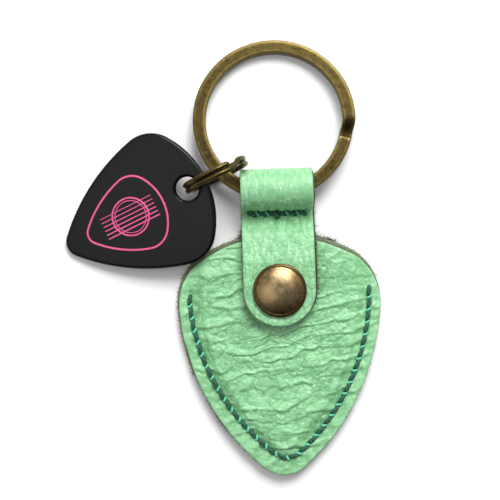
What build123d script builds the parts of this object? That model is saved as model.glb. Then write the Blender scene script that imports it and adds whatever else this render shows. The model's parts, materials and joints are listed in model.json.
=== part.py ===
from build123d import *
import os
from collections import namedtuple
from math import asin, atan2, ceil, cos, degrees, hypot, radians, sin, sqrt

# Leather pick pouch on a key ring, with a small link ring and a pick-shaped tag.
# Millimetres. The pouch lies on its back on z = 0, +Y runs from its tip to the key ring, and the
# origin is on the back face straight under the middle of the snap.

# A shield is the outline of a guitar pick: a round tip, two long sides, two round shoulders and a
# bowed top, all arcs that meet smoothly.
Shield = namedtuple("Shield", "width height tip_r shoulder_r top_r side_r")

# ---- leather ----
LEATHER = 1.3                     # thickness of every panel and of the strap
POUCH = Shield(width=38.0, height=45.1, tip_r=5.3, shoulder_r=10.2, top_r=28.0, side_r=43.5)
BACK_RISE = 0.6                   # the back panel stands this far above the pocket's mouth
SNAP_BELOW_MOUTH = 10.1           # from the pocket's mouth down to the snap
STRAP_WIDTH = 13.5
NECK_LENGTH = 8.75                # from the pocket's mouth up to the middle of the ring loop
NECK_FILLET = 1.2
RING_LOOSE = 0.324                # play of the key ring in the rolled loop that holds it
CREASE_R = 1.0                    # bend where the loop comes back down on the neck
SEAM_BELOW_CREASE = 0.19          # from the crease's foot down to the strap's seam
TAIL_SQUEEZE = 0.05               # the seam presses the folded leather this much thinner
TAIL_BELOW_SEAM = 0.9             # the folded leather stays flat this far past its seam

# ---- pocket ----
POCKET_DEPTH = 0.7                # room for picks between the panels
POCKET_MARGIN = 1.6               # from the seam to the pocket's edge
POCKET_SLOPE = 2.6                # width of the band where the front panel rises to full depth
CROWN_MARGIN = 0.5                # the crown outside starts this much nearer the seam than the pocket

# ---- stitches ----
SEAM_INSET = 2.05                 # the seam is the pouch outline drawn in by this much
SEAM_RISE = 1.2                   # and sewn a little higher, to one side and skewed
SEAM_SHIFT = 0.6
SEAM_SKEW = 1.2                   # degrees
SEAM_END_ANGLE = 10.0             # where on the shoulder's arc the seam ends, degrees above +X
STITCH = 2.4
THREAD_R = 0.32
THREAD_PROUD = 0.6                # the middle of a stitch stands this many radii above the leather
HOLE_R = 0.34
STRAP_STITCHES = 6
STRAP_STITCH_SPAN = 11.3

# ---- snap fastener ----
SNAP_GAP = 1.6                    # between the front panel and the flap, filled by the snap
CAP_R = 5.0
CAP_HEIGHT = 1.6
RIM_R = 0.45                      # rolled rim of the cap
RIM_WRAP = 120.0                  # degrees from +X where the dome leaves the rim
TUBE_R = 1.25                     # the cap's tube and the post's tube, through the leather
FLARE_R = 1.7
SOCKET_RIM = 1.2                  # width of the flat rim round the socket's cup
SOCKET_HEIGHT = 1.15
SOCKET_LIP = 0.4                  # lip that keeps the spring in the socket
SPRING_WIRE_R = 0.17
SPRING_PLAY = 0.03                # between the spring and the socket, all round
SPRING_GAP = 60.0                 # opening of the spring, degrees
BALL_R = 1.9
BALL_PLAY = 0.45                  # between the stud's head and the socket's mouth
BALL_UNDERCUT = 0.25
NECK_HEIGHT = 0.15                # straight neck under the stud's head
STUD_HEIGHT = 1.05
STUD_FLANGE_R = 3.8
FLANGE = 0.25                     # sheet that the snap's parts are pressed from
POST_FLANGE_R = 3.6
POST_REACH = 0.6                  # the post fills this share of the stud's height

# ---- flap ----
HINGE_ABOVE_MOUTH = 0.75          # the flap bends up about a line just above the pocket's mouth
FLAP_CLEARANCE = 0.2              # over the mouth, and between the flap and the leather it bends from
CREST_LIFT = 0.65                 # middle of the sloping flap over the mouth's edge, in thicknesses
CREST_BEND_R = 1.5
FLAP_BEND_R = 5.0
FLAP_FLAT = 1.0                   # the flap lies flat this far past the socket

# ---- key ring: a flat split ring of two turns ----
KEY_RING_R = 15.3                 # outside
KEY_BAND = 2.4                    # radial width of the band
KEY_COIL = 0.95                   # thickness of one turn
KEY_CHAMFER = 0.22
KEY_SPIRAL = 0.4                  # how far one turn draws in
KEY_RAMP = 13.0                   # degrees over which one turn steps down to the next
COIL_GAP = 0.1                    # between the turns
END_GAP = 1.2                     # degrees between a free end and the ramp

# ---- link ring: a small split ring of round wire ----
LINK_R = 6.5                      # outside
LINK_WIRE_R = 0.5
LINK_RAMP = 28.0
LINK_SPIRAL = 0.15
LINK_BESIDE_STRAP = 4.45          # from the strap's side out to the middle of the link ring
LINK_BEFORE_LOOP_END = 0.95       # from the loop's far end back to the middle of the link ring
LINK_TURN = 24.0                  # the link ring's plane, degrees from +X
LINK_START = 60.0                 # where its ramp is, degrees round it

# ---- tag ----
TAG = Shield(width=26.0, height=30.0, tip_r=2.9, shoulder_r=6.5, top_r=17.5, side_r=39.0)
TAG_THICKNESS = 1.3
TAG_CHAMFER = 0.25
TAG_HOLE_R = 2.2
TAG_HOLE_FROM_TOP = 4.1

# ---- places that follow from the sizes above ----
TIP_Y = SNAP_BELOW_MOUTH - POUCH.height
PANEL_TOP = 2 * LEATHER + POCKET_DEPTH

# The key ring's band curves through the loop, so the loop is as wide as the band and its curve.
KEY_HALF = KEY_COIL + COIL_GAP / 2
BAND_AT_SIDES = sqrt((KEY_RING_R - KEY_BAND) ** 2 - (STRAP_WIDTH / 2) ** 2)
RING_ABOVE_LOOP = (KEY_RING_R + BAND_AT_SIDES) / 2
LOOP_BORE_R = hypot(KEY_RING_R - RING_ABOVE_LOOP, KEY_HALF) + RING_LOOSE
LOOP_MID_R = LOOP_BORE_R + LEATHER / 2
LOOP_Y = SNAP_BELOW_MOUTH + NECK_LENGTH
LOOP_Z = LEATHER + LOOP_BORE_R
LOOP_END_Y = LOOP_Y + LOOP_BORE_R + LEATHER

# From the loop the leather turns in a crease to lie flat on the neck, under the strap's seam.
TAIL_Z = 1.5 * LEATHER - TAIL_SQUEEZE
CREASE_Z = TAIL_Z + CREASE_R
CREASE_Y = LOOP_Y - sqrt((LOOP_MID_R + CREASE_R) ** 2 - (LOOP_Z - CREASE_Z) ** 2)
SEAM_Y = CREASE_Y - SEAM_BELOW_CREASE
FLAT_END = (SEAM_Y - TAIL_BELOW_SEAM, TAIL_Z)
MOUTH_CREST = (SNAP_BELOW_MOUTH + FLAP_CLEARANCE, PANEL_TOP + FLAP_CLEARANCE + CREST_LIFT * LEATHER)
FLAP_BASE = PANEL_TOP + SNAP_GAP
FLAP_TOP = FLAP_BASE + LEATHER
SOCKET_BASE = FLAP_BASE - SOCKET_HEIGHT
SOCKET_MOUTH_R = BALL_R + BALL_PLAY
SOCKET_INSIDE_R = SOCKET_MOUTH_R + SOCKET_LIP
SOCKET_R = SOCKET_INSIDE_R + FLANGE + SOCKET_RIM
SPRING_R = SOCKET_INSIDE_R - SPRING_WIRE_R - SPRING_PLAY
LINK_CENTRE = (-STRAP_WIDTH / 2 - LINK_BESIDE_STRAP, LOOP_END_Y - LINK_BEFORE_LOOP_END)


def polar(centre, radius, angle):
    """The point at an angle in degrees on a circle."""
    return (centre[0] + radius * cos(radians(angle)), centre[1] + radius * sin(radians(angle)))


def arc(centre, radius, start, end):
    """An arc from one angle to another, in degrees."""
    angles = (start, (start + end) / 2, end)
    return ThreePointArc(*[polar(centre, radius, angle) for angle in angles])


def box_between(low, high):
    """A box from its lowest corner to its highest."""
    size = [b - a for a, b in zip(low, high)]
    middle = [(a + b) / 2 for a, b in zip(low, high)]
    return Pos(*middle) * Box(*size)


def cylinder(radius, low, high, x=0.0, y=0.0):
    """An upright cylinder between two heights."""
    return Pos(x, y, (low + high) / 2) * Cylinder(radius, high - low)


def joined(solids):
    """Several solids fused into one."""
    first, *others = solids
    return first.fuse(*others) if others else first


# ---- shields ----
def inset(shape, by):
    """The shield whose outline runs parallel to a shield's, inside it."""
    return Shield(shape.width - 2 * by, shape.height - 2 * by, *[r - by for r in shape[2:]])


def half_arcs(shape):
    """The right half of a shield as (centre, radius, from, to), from its tip at (0, 0) to its top."""
    shoulder_x = shape.width / 2 - shape.shoulder_r
    top_y = shape.height - shape.top_r
    shoulder_y = top_y + sqrt((shape.top_r - shape.shoulder_r) ** 2 - shoulder_x**2)
    tip_reach = shape.side_r - shape.tip_r
    shoulder_reach = shape.side_r - shape.shoulder_r
    span = hypot(shoulder_x, shoulder_y - shape.tip_r)
    along = (tip_reach**2 - shoulder_reach**2 + span**2) / (2 * span)
    across = sqrt(tip_reach**2 - along**2)
    ux, uy = shoulder_x / span, (shoulder_y - shape.tip_r) / span
    side = (along * ux - across * uy, shape.tip_r + along * uy + across * ux)
    tip_end = degrees(atan2(shape.tip_r - side[1], -side[0]))
    side_end = degrees(atan2(shoulder_y - side[1], shoulder_x - side[0]))
    shoulder_end = degrees(atan2(shoulder_y - top_y, shoulder_x))
    return [
        ((0.0, shape.tip_r), shape.tip_r, -90.0, tip_end),
        (side, shape.side_r, tip_end, side_end),
        ((shoulder_x, shoulder_y), shape.shoulder_r, side_end, shoulder_end),
        ((0.0, top_y), shape.top_r, shoulder_end, 90.0),
    ]


def with_mirror(edges):
    """A wire of the edges and their mirror images across the YZ plane."""
    return Wire(list(edges) + [edge.mirror(Plane.YZ) for edge in edges])


def shield_wire(shape):
    """A closed shield outline with its tip at (0, 0)."""
    return with_mirror([arc(*each) for each in half_arcs(shape)])


def shield_plate(shape, low, high, x=0.0, y=0.0):
    """A flat plate with a shield outline, its tip at (x, y), between two heights."""
    return Pos(x, y, low) * extrude(make_face(shield_wire(shape)), high - low)


# ---- seams ----
def seam_points():
    """The needle holes of the pouch seam, from one shoulder round the tip to the other."""
    tip, side, shoulder, _ = half_arcs(inset(POUCH, SEAM_INSET))
    end = (shoulder[0], shoulder[1], shoulder[2], SEAM_END_ANGLE)
    path = with_mirror([arc(*each) for each in (tip, side, end)])
    base_y = TIP_Y + SEAM_INSET + SEAM_RISE
    placed = Pos(SEAM_SHIFT, base_y) * Rot(0, 0, SEAM_SKEW) * path
    count = ceil(placed.length / STITCH)
    return [placed.position_at(i / count) for i in range(count + 1)]


def strap_points():
    """The needle holes of the strap's seam, across it just below the loop."""
    step = STRAP_STITCH_SPAN / STRAP_STITCHES
    return [Vector(i * step - STRAP_STITCH_SPAN / 2, SEAM_Y) for i in range(STRAP_STITCHES + 1)]


def needle_holes(points, low, high):
    """Cylinders that cut the needle holes of a seam."""
    return [cylinder(HOLE_R, low, high, point.X, point.Y) for point in points]


def runs(points, radius, height):
    """A level rod from each needle hole to the next."""
    rods = []
    for a, b in zip(points, points[1:]):
        start = Plane(origin=(a.X, a.Y, height), z_dir=(b.X - a.X, b.Y - a.Y, 0))
        rods.append(start * extrude(Circle(radius), (b - a).length))
    return rods


def thread(points, lay_z, leg_z):
    """One thread of a seam: a stitch from hole to hole at lay_z, and a leg down each hole to leg_z."""
    pieces = [Pos(point.X, point.Y, lay_z) * Sphere(THREAD_R) for point in points]
    pieces += runs(points, THREAD_R, lay_z)
    low, high = min(lay_z, leg_z), max(lay_z, leg_z)
    pieces += [cylinder(THREAD_R, low, high, point.X, point.Y) for point in points]
    return joined(pieces)


def thread_bed(points):
    """The groove in the back that the lower thread is pulled into."""
    grooves = runs(points, HOLE_R, THREAD_R)
    for a, b in zip(points, points[1:]):
        middle = (a + b) / 2
        turn = degrees(atan2(b.Y - a.Y, b.X - a.X))
        slot = Box((b - a).length, 2 * HOLE_R, 2 * THREAD_R)
        grooves.append(Pos(middle.X, middle.Y, 0) * Rot(0, 0, turn) * slot)
    return grooves


# ---- leather pieces ----
def strip(path, width):
    """Leather that follows a path in the YZ plane, as wide as the strap."""
    outline = path.offset_2d(LEATHER / 2, side=Side.BOTH)
    face = Plane.YZ * make_face(outline)
    return extrude(face, width / 2, both=True)


def hinge_point():
    """Where the flap bends, in the YZ plane: on the rise from the neck to the mouth's crest."""
    along = (SNAP_BELOW_MOUTH + HINGE_ABOVE_MOUTH - FLAT_END[0]) / (MOUTH_CREST[0] - FLAT_END[0])
    return tuple(a + along * (b - a) for a, b in zip(FLAT_END, MOUTH_CREST))


def tail_end():
    """Where the leather that is fixed to the pouch ends, short of the flap's round end."""
    hinge = hinge_point()
    rise = hypot(hinge[0] - FLAT_END[0], hinge[1] - FLAT_END[1])
    along = 1 - (LEATHER + FLAP_CLEARANCE) / rise
    return tuple(a + along * (b - a) for a, b in zip(FLAT_END, hinge))


def loop_path():
    """The middle line of the loop: round the key ring, down to the neck and past the seam."""
    centre = (LOOP_Y, LOOP_Z)
    crease = (CREASE_Y, CREASE_Z)
    turn = degrees(asin((LOOP_Z - CREASE_Z) / (LOOP_MID_R + CREASE_R)))
    rise = FilletPolyline((CREASE_Y, TAIL_Z), FLAT_END, tail_end(), radius=CREASE_R)
    edges = [arc(centre, LOOP_MID_R, -90.0, 180.0 + turn), arc(crease, CREASE_R, turn, -90.0)]
    return Wire(edges + rise.edges())


def back_panel():
    """The back panel, its neck and the loop, one piece of leather folded over and sewn to itself."""
    outline = Shield(POUCH.width, POUCH.height + BACK_RISE, *POUCH[2:])
    sheet = Pos(0, TIP_Y) * make_face(shield_wire(outline))
    neck_base = SNAP_BELOW_MOUTH - 4 * NECK_FILLET
    sheet += Pos(0, (neck_base + LOOP_Y) / 2) * Rectangle(STRAP_WIDTH, LOOP_Y - neck_base)
    corners = [v for v in sheet.vertices() if abs(abs(v.X) - STRAP_WIDTH / 2) < 0.01 and v.Y < LOOP_Y - 1]
    flat = extrude(fillet(corners, NECK_FILLET), LEATHER)
    piece = flat + strip(loop_path(), STRAP_WIDTH)
    piece -= needle_holes(seam_points(), -1, LEATHER + 1)
    piece -= needle_holes(strap_points(), -1, 3 * LEATHER)
    piece -= thread_bed(seam_points())
    piece -= thread_bed(strap_points())
    return piece


def pocket_frustum(start_inset, low, height):
    """A raised flat with sloping edges, that runs out through the mouth."""
    shape = inset(POUCH, start_inset)
    open_shape = Shield(shape.width, shape.height + start_inset + 2 * POCKET_SLOPE, *shape[2:])
    slope = degrees(atan2(POCKET_SLOPE, height))
    face = make_face(shield_wire(open_shape))
    return Pos(0, TIP_Y + start_inset, low) * extrude(face, height, taper=slope)


def front_panel():
    """The front panel, crowned over the pocket, open at the mouth between its shoulders."""
    edge = SEAM_INSET + POCKET_MARGIN
    plate = shield_plate(POUCH, LEATHER, 2 * LEATHER, y=TIP_Y)
    whole = shield_plate(POUCH, 0, 2 * PANEL_TOP, y=TIP_Y)
    crown = pocket_frustum(edge - CROWN_MARGIN, 2 * LEATHER, POCKET_DEPTH) & whole
    piece = plate + crown - pocket_frustum(edge, LEATHER, POCKET_DEPTH)
    piece -= needle_holes(seam_points(), 0, 2 * PANEL_TOP)
    piece -= cylinder(TUBE_R, 0, 2 * PANEL_TOP)
    return piece


def flap_path():
    """The middle line of the flap: up from its fold, over the pocket's mouth and along to its end."""
    flap_mid = FLAP_BASE + LEATHER / 2
    corners = [
        hinge_point(),
        MOUTH_CREST,
        (SOCKET_R + FLAP_FLAT, flap_mid),
        (-STRAP_WIDTH / 2 + LEATHER / 2, flap_mid),
    ]
    return FilletPolyline(*corners, radius=(CREST_BEND_R, FLAP_BEND_R))


def strap_flap():
    """The flap that closes the pocket, with a half-round end at its fold and a round free end."""
    side_view = strip(Wire(flap_path().edges()), STRAP_WIDTH)
    top = 3 * FLAP_TOP
    plan = box_between((-STRAP_WIDTH / 2, 0, 0), (STRAP_WIDTH / 2, LOOP_Y, top))
    plan += cylinder(STRAP_WIDTH / 2, 0, top)
    return (side_view & plan) - cylinder(TUBE_R, 0, top)


# ---- snap fastener ----
def turned(edges):
    """A closed profile of radius and height, turned about the snap's axis."""
    return revolve(Plane.XZ * make_face(Wire(edges)), Axis.Z, 360)


def turned_polygon(points):
    """A turned solid with a straight-sided profile."""
    return turned(Polyline(*points, close=True).edges())


def snap_cap():
    """The domed cap with a rolled rim, and its tube through the flap, flared under it."""
    rim = (CAP_R - RIM_R, FLAP_TOP + RIM_R)
    dome_foot = polar(rim, RIM_R, RIM_WRAP)
    apex = (0, FLAP_TOP + CAP_HEIGHT)
    rise = apex[1] - dome_foot[1]
    dome_r = (dome_foot[0] ** 2 + rise**2) / (2 * rise)
    dome_edge = degrees(atan2(dome_r - rise, dome_foot[0]))
    flare_top = FLAP_BASE - FLANGE
    edges = [
        Polyline(
            apex,
            (0, flare_top - FLANGE / 2),
            (FLARE_R, flare_top - FLANGE / 2),
            (FLARE_R, flare_top),
            (TUBE_R, flare_top),
            (TUBE_R, FLAP_TOP),
            (CAP_R - RIM_R, FLAP_TOP),
        ),
        arc(rim, RIM_R, -90.0, RIM_WRAP),
        arc((0, apex[1] - dome_r), dome_r, dome_edge, 90.0),
    ]
    return turned([edge for line in edges for edge in line.edges()])


def snap_socket():
    """The socket under the flap, with a cavity for the stud's head and the spring."""
    roof = FLAP_BASE - FLANGE
    lip = SOCKET_BASE + FLANGE
    return turned_polygon([
        (TUBE_R, FLAP_BASE),
        (SOCKET_R, FLAP_BASE),
        (SOCKET_R, FLAP_BASE - FLANGE),
        (SOCKET_INSIDE_R + FLANGE, roof - FLANGE),
        (SOCKET_INSIDE_R + FLANGE, SOCKET_BASE),
        (SOCKET_MOUTH_R, SOCKET_BASE),
        (SOCKET_MOUTH_R, lip),
        (SOCKET_INSIDE_R, lip),
        (SOCKET_INSIDE_R, roof),
        (TUBE_R, roof),
    ])


def snap_spring():
    """The open wire ring in the socket that grips the stud's head."""
    height = SOCKET_BASE + FLANGE + SPRING_WIRE_R + SPRING_PLAY
    section = Pos(SPRING_R, 0, height) * Rot(90, 0, 0) * Circle(SPRING_WIRE_R)
    return Rot(0, 0, SPRING_GAP / 2) * revolve(section, Axis.Z, 360 - SPRING_GAP)


def snap_stud():
    """The stud on the front panel, its head in the socket."""
    top = PANEL_TOP + STUD_HEIGHT
    flange_top = PANEL_TOP + FLANGE
    head = flange_top + NECK_HEIGHT
    hollow = PANEL_TOP + POST_REACH * STUD_HEIGHT
    ball_neck_r = BALL_R - BALL_UNDERCUT
    edges = [
        Polyline(
            (0, top),
            (0, hollow),
            (TUBE_R, hollow),
            (TUBE_R, PANEL_TOP),
            (STUD_FLANGE_R, PANEL_TOP),
            (STUD_FLANGE_R, flange_top),
            (ball_neck_r, flange_top),
            (ball_neck_r, head),
        ),
        ThreePointArc((ball_neck_r, head), (BALL_R, (head + top) / 2), (ball_neck_r, top)),
        Line((ball_neck_r, top), (0, top)),
    ]
    return turned([edge for line in edges for edge in line.edges()])


def snap_post():
    """The post that clamps the stud: a flange inside the pocket and a tube up through the panel."""
    ceiling = LEATHER + POCKET_DEPTH
    top = PANEL_TOP + POST_REACH * STUD_HEIGHT
    return turned_polygon([
        (0, ceiling - FLANGE),
        (POST_FLANGE_R, ceiling - FLANGE),
        (POST_FLANGE_R, ceiling),
        (TUBE_R, ceiling),
        (TUBE_R, top),
        (0, top),
    ])


# ---- split rings ----
def flat_band(width, thickness, chamfer_size):
    """The section of a flat band, its corners broken."""
    return chamfer(Rectangle(width, thickness).vertices(), chamfer_size)


def split_ring(section, radius, pitch, ramp, spiral, start=0.0):
    """A split ring of two turns about Z, from its section and its mean radius.

    Each turn is two half circles, and draws in by the spiral. The ramp leads from the end of the
    upper turn down to the start of the lower one, and a free end lies each side of it.
    """
    step_in = spiral / 2
    second_centre = polar((0, 0), step_in, start + 180)

    def stand(angle, height, mean_radius, centre=(0, 0)):
        """The section, stood across the band at an angle."""
        return Pos(*centre, height) * Rot(0, 0, angle) * Pos(mean_radius, 0, 0) * Rot(90, 0, 0) * section

    def turn(height, begin, end):
        """One turn between two angles counted from the ramp."""
        first = revolve(stand(start + begin, height, radius), Axis.Z, 180 - begin)
        axis = Axis((*second_centre, 0), (0, 0, 1))
        rest = stand(start + 180, height, radius - step_in, second_centre)
        return [first, revolve(rest, axis, end - 180)]

    upper, lower = pitch / 2, -pitch / 2
    foot = stand(start - ramp, lower, radius - step_in, second_centre)
    slope = loft([stand(start, upper, radius), foot], ruled=True)
    turns = turn(upper, 0, 360 - ramp - END_GAP) + turn(lower, END_GAP, 360 - ramp)
    return joined([slope] + turns)


def key_ring_place():
    """The key ring passes through the loop and slopes down until its far side rests on z = 0."""
    reach = RING_ABOVE_LOOP + KEY_RING_R - KEY_CHAMFER
    tilt = asin(LOOP_Z / hypot(reach, KEY_HALF)) - atan2(KEY_HALF, reach)
    return Pos(0, LOOP_Y, LOOP_Z) * Rot(-degrees(tilt), 0, 0) * Pos(0, RING_ABOVE_LOOP, 0)


def key_ring():
    """The flat split ring."""
    ring = split_ring(
        flat_band(KEY_BAND, KEY_COIL, KEY_CHAMFER),
        KEY_RING_R - KEY_BAND / 2,
        KEY_COIL + COIL_GAP,
        KEY_RAMP,
        KEY_SPIRAL,
    )
    return key_ring_place() * ring


def link_place():
    """The link ring stands upright on z = 0, its plane turned from X."""
    return Pos(*LINK_CENTRE, LINK_R) * Rot(0, 0, LINK_TURN) * Rot(90, 0, 0)


def link_ring():
    """The small split ring of round wire that holds the tag on the key ring."""
    ring = split_ring(
        Circle(LINK_WIRE_R),
        LINK_R - LINK_WIRE_R,
        2 * LINK_WIRE_R + COIL_GAP / 2,
        LINK_RAMP,
        LINK_SPIRAL,
        start=LINK_START,
    )
    return link_place() * ring


def tag_slope():
    """How far the tag slopes down, in degrees, from the link ring's wire to its tip on z = 0."""
    wire = LINK_R - LINK_WIRE_R
    reach = wire + TAG.height - TAG_HOLE_FROM_TOP
    half = TAG_THICKNESS / 2
    return degrees(asin(LINK_R / hypot(reach, half)) - atan2(half, reach))


def pick_tag():
    """The pick-shaped tag, hung by its hole on the link ring's wire."""
    plate = extrude(make_face(shield_wire(TAG)), TAG_THICKNESS / 2, both=True)
    plate -= Pos(0, TAG.height - TAG_HOLE_FROM_TOP, 0) * Cylinder(TAG_HOLE_R, 2 * TAG_THICKNESS)
    rims = plate.edges().filter_by(lambda edge: abs(abs(edge.center().Z) - TAG_THICKNESS / 2) < 1e-3)
    plate = chamfer(rims, TAG_CHAMFER)
    tip_out = LINK_R - LINK_WIRE_R + TAG.height - TAG_HOLE_FROM_TOP
    centre = Pos(*LINK_CENTRE, LINK_R)
    hung = centre * Rot(0, 0, LINK_TURN) * Rot(0, -tag_slope(), 0)
    return hung * Pos(-tip_out, 0, 0) * Rot(0, 0, -90) * plate


# ---- all pieces ----
def pouch_thread_top():
    return thread(seam_points(), 2 * LEATHER + THREAD_PROUD * THREAD_R, LEATHER)


def pouch_thread_back():
    return thread(seam_points(), THREAD_R, LEATHER)


def strap_thread_top():
    return thread(strap_points(), TAIL_Z + LEATHER / 2 + THREAD_PROUD * THREAD_R, LEATHER)


def strap_thread_back():
    return thread(strap_points(), THREAD_R, LEATHER)


PIECES = [
    back_panel,
    front_panel,
    strap_flap,
    pouch_thread_top,
    pouch_thread_back,
    strap_thread_top,
    strap_thread_back,
    snap_cap,
    snap_socket,
    snap_spring,
    snap_stud,
    snap_post,
    key_ring,
    link_ring,
    pick_tag,
]

os.makedirs("parts", exist_ok=True)
for piece in PIECES:
    export_step(piece(), f"parts/{piece.__name__}.step")
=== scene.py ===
"""Leather pick pouch on a key ring, with a small link ring and a pick-shaped tag.

Shapes are worked out in millimetres in the frame of the design and turned into metres when a mesh is made.
"""

import json
from collections import namedtuple
from math import asin, atan2, ceil, cos, degrees, hypot, pi, radians, sin, sqrt, tau

import bmesh
import bpy
import numpy as np
from mathutils import Matrix, Vector


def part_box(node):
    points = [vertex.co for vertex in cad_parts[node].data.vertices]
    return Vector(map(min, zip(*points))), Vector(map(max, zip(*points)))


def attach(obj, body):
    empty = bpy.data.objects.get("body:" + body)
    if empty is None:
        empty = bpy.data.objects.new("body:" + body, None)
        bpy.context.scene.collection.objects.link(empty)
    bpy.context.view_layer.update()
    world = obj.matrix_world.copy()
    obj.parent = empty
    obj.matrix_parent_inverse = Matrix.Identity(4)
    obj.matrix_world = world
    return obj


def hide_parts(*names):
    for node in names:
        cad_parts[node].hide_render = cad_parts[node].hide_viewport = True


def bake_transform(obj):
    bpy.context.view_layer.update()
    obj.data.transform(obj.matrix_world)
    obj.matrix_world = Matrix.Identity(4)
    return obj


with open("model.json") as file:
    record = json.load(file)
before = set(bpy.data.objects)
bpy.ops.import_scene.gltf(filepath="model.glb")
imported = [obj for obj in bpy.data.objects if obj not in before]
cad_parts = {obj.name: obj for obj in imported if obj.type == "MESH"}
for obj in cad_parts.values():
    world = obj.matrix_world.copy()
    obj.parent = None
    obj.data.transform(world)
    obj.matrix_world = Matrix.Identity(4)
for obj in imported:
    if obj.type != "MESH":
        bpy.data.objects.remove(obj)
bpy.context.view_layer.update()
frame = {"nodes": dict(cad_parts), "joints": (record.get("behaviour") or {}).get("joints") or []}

MM = 0.001
Shield = namedtuple("Shield", "width height tip_r shoulder_r top_r side_r")


def box_mm(node):
    """Lowest and highest corner of a node, in millimetres."""
    low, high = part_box(node)
    return np.array(low) / MM, np.array(high) / MM


def joint(name):
    """One joint of the design."""
    return next(each for each in frame["joints"] if each["name"] == name)


# ---- sizes read from the frame ----
front_low, front_high = box_mm("front_panel")
_, back_high = box_mm("back_panel")
_, flap_high = box_mm("strap_flap")
cap_low, cap_high = box_mm("snap_cap")
_, socket_high = box_mm("snap_socket")
strap_seam_low, strap_seam_high = box_mm("strap_thread_top")

LEATHER = front_low[2]
POUCH = Shield(*(front_high - front_low)[:2], tip_r=5.3, shoulder_r=10.2, top_r=28.0, side_r=43.5)
TIP_Y, MOUTH_Y, PANEL_TOP = front_low[1], front_high[1], front_high[2]
POCKET_DEPTH = PANEL_TOP - 2 * LEATHER
HALF_STRAP = flap_high[0]
FLAP_TOP = flap_high[2]
FLAP_MID = FLAP_TOP - LEATHER / 2
LOOP_R = back_high[2] / 2
LOOP_Y = back_high[1] - LOOP_R
STRAP_SEAM_Y = (strap_seam_low[1] + strap_seam_high[1]) / 2
CAP_R = cap_high[0]
CAP_TOP = cap_high[2]

# ---- sizes repeated from the design ----
BACK_RISE, NECK_FILLET, CREASE_R = 0.6, 1.2, 1.0
TAIL_Z = 1.5 * LEATHER - 0.05
FLAT_END = (STRAP_SEAM_Y - 0.9, TAIL_Z)
MOUTH_CREST = (MOUTH_Y + 0.2, PANEL_TOP + 0.2 + 0.65 * LEATHER)
SEAM_INSET, SEAM_END_ANGLE, STITCH = 2.05, 10.0, 2.4
SEAM_RISE, SEAM_SHIFT, SEAM_SKEW = 1.2, 0.6, 1.2  # the seam is a little high, right and turned
STRAP_STITCHES, STRAP_STITCH_SPAN = 6, 11.3
STRAP_PITCH = STRAP_STITCH_SPAN / STRAP_STITCHES
THREAD_R = 0.4
BACK_LAY = THREAD_R + 0.2  # keeps the back threads off the table
KEY_RING_R, KEY_BAND, KEY_COIL = 15.3, 2.4, 0.95
KEY_SPIRAL, KEY_RAMP = 0.4, 13.0  # millimetres drawn in, and degrees of slope
LINK_R, LINK_WIRE_R = 6.5, 0.5
LINK_SPIRAL, LINK_RAMP, LINK_START = 0.15, 28.0, 60.0
COIL_GAP, END_GAP = 0.1, 1.2  # millimetres between turns, degrees before a free end
TAG = Shield(26.0, 30.0, 2.9, 6.5, 17.5, 39.0)
TAG_THICKNESS, TAG_HOLE_R, TAG_HOLE_FROM_TOP = 1.3, 2.2, 4.1


# ---- noise in the plane, from one seeded table ----
SIZE = 64
TABLE = np.random.default_rng(11).random((10, SIZE, SIZE))


def ease(t):
    """0 below 0, 1 above 1, smooth between."""
    t = np.clip(t, 0.0, 1.0)
    return t * t * (3 - 2 * t)


def noise(x, y, layer):
    """Smooth noise from 0 to 1, about one bump per unit."""
    i, j = np.floor(x).astype(int), np.floor(y).astype(int)
    u, v = ease(x - i), ease(y - j)
    grid = TABLE[layer]
    low = grid[i % SIZE, j % SIZE] * (1 - u) + grid[(i + 1) % SIZE, j % SIZE] * u
    high = grid[i % SIZE, (j + 1) % SIZE] * (1 - u) + grid[(i + 1) % SIZE, (j + 1) % SIZE] * u
    return low * (1 - v) + high * v


def cell_gap(x, y, layer):
    """How far a point is inside its cell, with one seed per unit square: 0 on the cell's border."""
    i, j = np.floor(x).astype(int), np.floor(y).astype(int)
    first = np.full(x.shape, 9.0)
    second = np.full(x.shape, 9.0)
    for a in (-1, 0, 1):
        for b in (-1, 0, 1):
            row, column = (i + a) % SIZE, (j + b) % SIZE
            seed_x = i + a + TABLE[layer][row, column]
            seed_y = j + b + TABLE[layer + 1][row, column]
            distance = np.hypot(seed_x - x, seed_y - y)
            second = np.minimum(second, np.maximum(first, distance))
            first = np.minimum(first, distance)
    return second - first


# ---- meshes ----
def unit(vectors):
    """Vectors scaled to a length of 1."""
    return vectors / np.linalg.norm(vectors, axis=-1, keepdims=True)


def circle(count):
    """Evenly spaced points round a circle of radius 1."""
    angles = np.linspace(0.0, tau, count, endpoint=False)
    return np.stack([np.cos(angles), np.sin(angles)], 1)


def square_to(line, hint):
    """Two directions square to a line at each point, the first of them square to a hint too."""
    run = unit(np.gradient(line, axis=0))
    aside = unit(np.cross(run, hint))
    return aside, np.cross(aside, run)


def grid_faces(rows, columns):
    """Quads between rows of points that each close on themselves."""
    i, j = np.meshgrid(np.arange(rows - 1), np.arange(columns), indexing="ij")
    after = (j + 1) % columns
    low, high = i * columns, (i + 1) * columns
    return np.stack([low + j, low + after, high + after, high + j], -1).reshape(-1, 4)


def store(mesh, grain, rest):
    """Stores what the materials read: the grain at each point, and where it lies at rest in millimetres."""
    grain = np.array(np.broadcast_to(grain, len(mesh.vertices)), np.float32)
    mesh.attributes.new("grain", "FLOAT", "POINT").data.foreach_set("value", grain)
    rest = np.asarray(rest, np.float32).ravel()
    mesh.attributes.new("rest", "FLOAT_VECTOR", "POINT").data.foreach_set("vector", rest)


def vertices(mesh):
    """The places of a mesh's vertices."""
    places = np.zeros(len(mesh.vertices) * 3)
    mesh.vertices.foreach_get("co", places)
    return places.reshape(-1, 3)


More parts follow.
